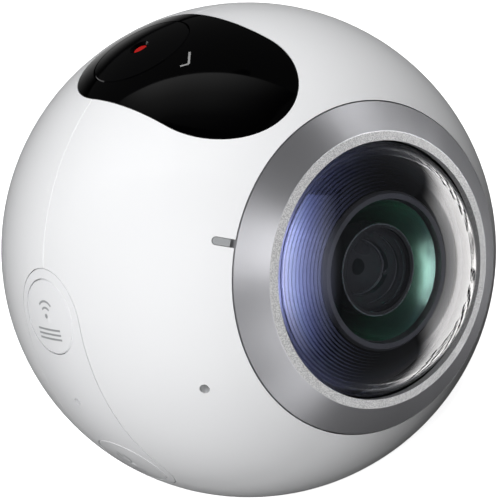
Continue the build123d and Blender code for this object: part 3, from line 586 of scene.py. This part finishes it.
def baffle_coating():
    """Matt black ridges that turn metallic and blue grey towards the outer ones."""
    material, tree, shader, place = new_material("baffle_black")
    share = tree.nodes.new("ShaderNodeMapRange")
    share.inputs["From Min"].default_value = BAFFLE_INNER
    share.inputs["From Max"].default_value = BAFFLE_OUTER
    tree.links.new(axis_distance(tree, place), share.inputs["Value"])
    stops = (
        (0.0, (0.03, 0.03, 0.03)),
        (0.4, (0.12, 0.12, 0.13)),
        (0.75, (0.3, 0.31, 0.36)),
        (1.0, (0.6, 0.6, 0.66)),
    )
    tree.links.new(colour_ramp(tree, share.outputs["Result"], stops), shader.inputs["Base Color"])
    tree.links.new(math_node(tree, "POWER", share.outputs["Result"], 0.5), shader.inputs["Metallic"])
    skin = place_group(
        tree, GRAIN, place, Grains_per_metre=6000.0, Depth=0.02, Roughness=0.4, Unevenness=0.05
    )
    tree.links.new(skin.outputs["Normal"], shader.inputs["Normal"])
    tree.links.new(skin.outputs["Roughness"], shader.inputs["Roughness"])
    return material


def coated_glass(name, ior, tint):
    """Clear glass whose coating tints what it mirrors."""
    material, tree, shader, place = new_material(name)
    clear = place_group(tree, TONE, place, Colour=(0.96, 0.97, 1.0, 1), Other_colour=(0.95, 0.96, 0.99, 1))
    tree.links.new(clear.outputs["Colour"], shader.inputs["Base Color"])
    shader.inputs["Roughness"].default_value = 0.0
    shader.inputs["IOR"].default_value = ior
    shader.inputs["Transmission Weight"].default_value = 1.0
    shader.inputs["Specular Tint"].default_value = (*tint, 1)
    return material


def cup_coating():
    """The coating round the inner lens, which shines green at its inner edge and cyan at its outer."""
    material, tree, shader, place = new_material("cup_coating")
    green, cyan = (0.10, 0.55, 0.25), (0.55, 0.9, 0.85)
    share = tree.nodes.new("ShaderNodeMapRange")
    share.inputs["From Min"].default_value = CUP_INNER
    share.inputs["From Max"].default_value = CUP_OUTER
    tree.links.new(axis_distance(tree, place), share.inputs["Value"])
    colour = mix_colours(tree, share.outputs["Result"], green, cyan)
    tree.links.new(colour, shader.inputs["Base Color"])
    shader.inputs["Metallic"].default_value = 1.0
    shader.inputs["Roughness"].default_value = 0.2
    return material


def make_finishes():
    """One material for each of the record's finishes."""
    return {
        "shell_white": finish(
            "shell_white", (0.86, 0.865, 0.875), (0.84, 0.845, 0.86), 0.3, 5000.0, 0.03,
            Coat_Weight=0.2, Coat_Roughness=0.15,
        ),
        "panel_white": finish(
            "panel_white", (0.85, 0.855, 0.87), (0.83, 0.835, 0.85), 0.3, 5000.0, 0.03,
            Coat_Weight=0.2, Coat_Roughness=0.15,
        ),
        "key_white": finish(
            "key_white", (0.86, 0.865, 0.88), (0.84, 0.845, 0.86), 0.26, 5000.0, 0.02,
            Coat_Weight=0.3, Coat_Roughness=0.1,
        ),
        "panel_black": finish(
            "panel_black", (0.0004, 0.0004, 0.0005), (0.0007, 0.0007, 0.0008), 0.05, 500.0, 0.002, 0.02,
            Specular_IOR_Level=0.3,
        ),
        "key_black": finish(
            "key_black", (0.0006, 0.0006, 0.0007), (0.001, 0.001, 0.0012), 0.08, 500.0, 0.002, 0.03,
            Specular_IOR_Level=0.35,
        ),
        "lamp_red": finish("lamp_red", (0.55, 0.015, 0.012), (0.4, 0.01, 0.01), 0.2, 800.0, 0.02),
        "ring_metal": ring_metal(),
        "dome_glass": coated_glass("dome_glass", 1.8, (0.85, 0.9, 1.0)),
        "inner_glass": coated_glass("inner_glass", 1.6, (0.5, 0.9, 1.0)),
        "baffle_black": baffle_coating(),
        "retainer_grey": finish(
            "retainer_grey", (0.1, 0.1, 0.11), (0.13, 0.13, 0.14), 0.35, 7000.0, 0.1,
            Metallic=0.5,
        ),
        "cell_black": finish("cell_black", (0.01, 0.01, 0.011), (0.016, 0.016, 0.018), 0.28, 6000.0, 0.05),
        "barrel_black": finish("barrel_black", (0.015, 0.015, 0.016), (0.02, 0.02, 0.02), 0.4, 5000.0, 0.1),
        "sensor_board": finish("sensor_board", (0.02, 0.03, 0.05), (0.05, 0.02, 0.06), 0.25, 3000.0, 0.05),
        "seal_rubber": finish("seal_rubber", (0.02, 0.02, 0.02), (0.03, 0.03, 0.03), 0.6, 4000.0, 0.2),
        "steel": finish("steel", (0.55, 0.55, 0.57), (0.6, 0.6, 0.62), 0.3, 5000.0, 0.1, Metallic=1.0),
        "switch_body": finish("switch_body", (0.03, 0.03, 0.03), (0.05, 0.05, 0.05), 0.45, 4000.0, 0.1),
        "display_glass": finish(
            "display_glass", (0.01, 0.01, 0.014), (0.014, 0.014, 0.018), 0.08, 500.0, 0.01,
        ),
        "flex_amber": finish("flex_amber", (0.42, 0.2, 0.05), (0.36, 0.16, 0.04), 0.35, 3000.0, 0.05),
        "chassis_grey": finish("chassis_grey", (0.06, 0.062, 0.066), (0.08, 0.08, 0.085), 0.5, 4000.0, 0.2),
        "can_metal": finish(
            "can_metal", (0.6, 0.6, 0.61), (0.66, 0.66, 0.66), 0.28, 5000.0, 0.1,
            Metallic=1.0,
        ),
        "light_grey": finish("light_grey", (0.3, 0.31, 0.32), (0.36, 0.37, 0.38), 0.25, 3000.0, 0.05),
        "base_grey": finish("base_grey", (0.6, 0.605, 0.615), (0.56, 0.565, 0.58), 0.42, 4500.0, 0.15),
        "foot_rubber": finish("foot_rubber", (0.05, 0.05, 0.053), (0.065, 0.065, 0.07), 0.7, 2500.0, 0.4),
        "battery_wrap": finish(
            "battery_wrap", (0.05, 0.052, 0.058), (0.06, 0.062, 0.07), 0.4, 3000.0, 0.05,
        ),
        "contact_gold": finish(
            "contact_gold", (0.75, 0.55, 0.2), (0.8, 0.6, 0.25), 0.25, 5000.0, 0.05,
            Metallic=1.0,
        ),
        "board_green": finish("board_green", (0.01, 0.09, 0.04), (0.012, 0.11, 0.05), 0.3, 2500.0, 0.1),
        "card_black": finish("card_black", (0.02, 0.02, 0.022), (0.03, 0.03, 0.032), 0.4, 4000.0, 0.1),
    }


def dress_nodes(finishes):
    """Gives every solid the finish that the record names for it."""
    slots = {part["node"]: part["material_slot"] for part in frame["record"]["subparts"]}
    for node, piece in frame["nodes"].items():
        piece.data.materials.clear()
        piece.data.materials.append(finishes[slots[node]])


# Pieces that the solids leave out


def turned_sheet(name, outline, direction, steps=96):
    """A sheet turned about the lens axis from (radius, height) points."""
    points = []
    for reach, height in outline:
        for step in range(steps):
            angle = 2 * math.pi * step / steps
            spoke = Vector((reach * math.cos(angle), direction * height, reach * math.sin(angle)))
            points.append(CENTRE + spoke)
    faces = []
    for row in range(len(outline) - 1):
        for step in range(steps):
            following = (step + 1) % steps
            low, high = row * steps, (row + 1) * steps
            faces.append((low + step, low + following, high + following, high + step))
    return add_mesh(name, points, faces, smooth=True)


def dome_outline(count=40):
    """The (radius, height) points of the outer glass: outer curve, edge, seat and inner curve."""
    inner_curve = DOME_CURVE - DOME_WALL
    crown = math.asin(DOME_EDGE / DOME_CURVE)
    mouth = math.acos((DOME_SEAT - DOME_CENTRE) / inner_curve)
    outline = []
    for step in range(count + 1):
        angle = crown * step / count
        outline.append((DOME_CURVE * math.sin(angle), DOME_CENTRE + DOME_CURVE * math.cos(angle)))
    outline.append((DOME_EDGE, DOME_SEAT))
    for step in range(count, -1, -1):
        angle = mouth * step / count
        outline.append((inner_curve * math.sin(angle), DOME_CENTRE + inner_curve * math.cos(angle)))
    return outline


def add_dome(side, direction, glass, steps=144):
    """The outer glass, closed and turned so finely that it mirrors cleanly."""
    mesh = bmesh.new()
    rows = []
    for reach, height in dome_outline():
        turns = range(steps) if reach else (0,)
        angles = [2 * math.pi * turn / steps for turn in turns]
        middle = CENTRE + Vector((0, direction * height, 0))
        rows.append([mesh.verts.new(middle + Vector((math.cos(a), 0, math.sin(a))) * reach) for a in angles])
    for low, high in zip(rows, rows[1:]):
        for turn in range(steps):
            corners = []
            for row, place in ((low, turn), (low, turn + 1), (high, turn + 1), (high, turn)):
                corner = row[place % len(row)]
                if corner not in corners:
                    corners.append(corner)
            mesh.faces.new(corners)
    bmesh.ops.recalc_face_normals(mesh, faces=mesh.faces)
    dome = add_mesh(f"{side}_dome", [], [])
    mesh.to_mesh(dome.data)
    mesh.free()
    dome.data.shade_smooth()
    dome.data.set_sharp_from_angle(angle=math.radians(30))
    dome.data.materials.append(glass)
    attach(dome, "camera_body")
    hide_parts(f"{side}_dome_lens")


def add_lens_cup(side, direction, coating):
    """The coated cup between the retaining ring and the inner lens."""
    count = 14
    outline = []
    for step in range(count + 1):
        reach = CUP_INNER + (CUP_OUTER - CUP_INNER) * step / count
        outline.append((reach, CUP_CENTRE - math.sqrt(CUP_CURVE**2 - reach**2)))
    cup = turned_sheet(f"{side}_lens_cup", outline, direction)
    cup.data.materials.append(coating)
    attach(cup, "camera_body")


def add_cell_beads(side, direction, metal):
    """Fine polished beads on the edges of the tower's rim and its steps."""
    rims = [(CELL_RIM, CELL_TOP)] + [(reach * MM, level * MM) for reach, level in CELL_STEPS]
    points = 8
    for index, (reach, level) in enumerate(rims):
        outline = []
        for step in range(points + 1):
            angle = math.pi * step / points
            outline.append((reach - BEAD * math.cos(angle), level + BEAD * math.sin(angle)))
        bead = turned_sheet(f"{side}_cell_bead_{index + 1}", outline, direction)
        bead.data.materials.append(metal)
        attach(bead, "camera_body")


def stroke(points, width):
    """The short quads of a line of some width, from points in the mark's own plane."""
    quads = []
    for start, end in zip(points, points[1:]):
        start, end = Vector(start), Vector(end)
        across = (end - start).orthogonal().normalized() * width / 2
        parts = max(1, round((end - start).length / INK_STEP))
        for part in range(parts):
            near = start.lerp(end, part / parts)
            far = start.lerp(end, (part + 1) / parts)
            quads.append([near + across, near - across, far - across, far + across])
    return quads


def arc(centre, radius, first, last, steps=24):
    """Points on an arc, its angles in degrees."""
    turns = [math.radians(first + (last - first) * step / steps) for step in range(steps + 1)]
    return [(centre[0] + radius * math.cos(a), centre[1] + radius * math.sin(a)) for a in turns]


def oval(centre, width, height, steps, rings):
    """A filled oval, as rings of small faces."""

    def spot(ring, step):
        angle = 2 * math.pi * step / steps
        reach = ring / rings
        across = centre[0] + reach * width / 2 * math.cos(angle)
        return Vector((across, centre[1] + reach * height / 2 * math.sin(angle)))

    faces = []
    for ring in range(rings):
        for step in range(steps):
            corners = [spot(ring, step), spot(ring + 1, step), spot(ring + 1, step + 1)]
            faces.append(corners + [spot(ring, step + 1)] if ring else corners)
    return faces


def add_mark(name, faces, across, up, body, ink):
    """A printed mark laid on the ball, from faces in millimetres across and up from its middle."""
    out = across.cross(up)
    points, polygons = [], []
    for face in faces:
        polygons.append(tuple(range(len(points), len(points) + len(face))))
        for spot in face:
            offset = across * spot[0] * MM + up * spot[1] * MM
            rise = math.sqrt(BALL**2 - offset.length_squared)
            points.append(CENTRE + (offset + out * rise).normalized() * (BALL + INK_LIFT))
    mark = add_mesh(name, points, polygons)
    mark.data.materials.append(ink)
    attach(mark, body)


def add_marks():
    """Plain signs: a tick, a dot with waves over a list, and a power sign with a return arrow."""
    grey_ink = finish("grey_ink", (0.33, 0.34, 0.35), (0.36, 0.37, 0.38), 0.5, 4000.0, 0.05)
    pale_ink = finish("pale_ink", (0.26, 0.26, 0.26), (0.29, 0.29, 0.29), 0.5, 4000.0, 0.05)
    tick_pen, sign_pen, arrow_pen = 0.26, 0.24, 0.16
    tick = stroke([(-1.3, -8.75), (-0.5, -9.4), (1.2, -7.95)], tick_pen)
    add_mark("tick_mark", tick, Vector((1, 0, 0)), Vector((0, 1, 0)), "camera_body", pale_ink)

    side, up = Vector((0, -1, 0)), Vector((0, 0, 1))
    dot = (-0.2, 11.1)
    near_wave = stroke(arc(dot, 0.95, 45, 135, 8), sign_pen)
    far_wave = stroke(arc(dot, 1.65, 45, 135, 10), sign_pen)
    bars = []
    for level in (8.45, 9.0, 9.55):
        bars += stroke([(-2.4, level), (2.0, level)], sign_pen)
    wireless = near_wave + far_wave + oval(dot, 0.55, 0.55, steps=12, rings=2)
    add_mark("wireless_waves", wireless, side, up, "menu_key", grey_ink)
    add_mark("menu_bars", bars, side, up, "menu_key", grey_ink)

    open_ring = stroke(arc((-0.1, -9.9), 0.95, 125, 415), sign_pen)
    bar = stroke([(-0.1, -9.7), (-0.1, -8.6)], sign_pen)
    add_mark("power_sign", open_ring + bar, side, up, "back_key", grey_ink)
    bend = arc((0.25, -12.65), 0.35, 90, -90, 8)
    shaft = stroke([(-0.75, -12.3), (0.25, -12.3)] + bend + [(-0.35, -13.0)], arrow_pen)
    head = stroke([(-0.3, -11.95), (-0.75, -12.3), (-0.3, -12.65)], arrow_pen)
    add_mark("return_arrow", shaft + head, side, up, "back_key", grey_ink)


def add_thread(steel):
    """The tripod thread inside its bush, as one turned helix."""
    steps = 48
    turns = int(THREAD_TOP / THREAD_PITCH)
    low, high = THREAD_CREST
    profile = [(THREAD_OUTER, 0.0), (THREAD_INNER, low), (THREAD_INNER, high), (THREAD_OUTER, 1.0)]
    points, faces = [], []
    for step in range(turns * steps + 1):
        angle = 2 * math.pi * step / steps
        level = THREAD_PITCH * step / steps + THREAD_START
        for reach, share in profile:
            rise = level + share * THREAD_PITCH * THREAD_FLANKS
            points.append((reach * math.cos(angle), reach * math.sin(angle), rise))
    wide = len(profile)
    for step in range(turns * steps):
        for index in range(wide - 1):
            first = step * wide + index
            faces.append((first, first + 1, first + 1 + wide, first + wide))
    thread = add_mesh("tripod_thread", points, faces, smooth=True)
    thread.data.materials.append(steel)
    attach(thread, "camera_body")


# The dressed camera in its studio

GRAIN = build_grain()
TONE = build_tone()
finishes = make_finishes()
dress_nodes(finishes)
coating = cup_coating()
bead_metal = finish("bead_metal", (0.5, 0.51, 0.54), (0.42, 0.43, 0.46), 0.3, 5000.0, 0.05, Metallic=1.0)
for side, direction in SIDES.items():
    add_dome(side, direction, finishes["dome_glass"])
    add_lens_cup(side, direction, coating)
    add_cell_beads(side, direction, bead_metal)
add_marks()
add_thread(finishes["steel"])
add_camera()
add_world()
add_glass_cards()
add_inner_lamps()
add_outer_lamps()
add_floor()

bpy.context.scene.view_settings.view_transform = "Standard"
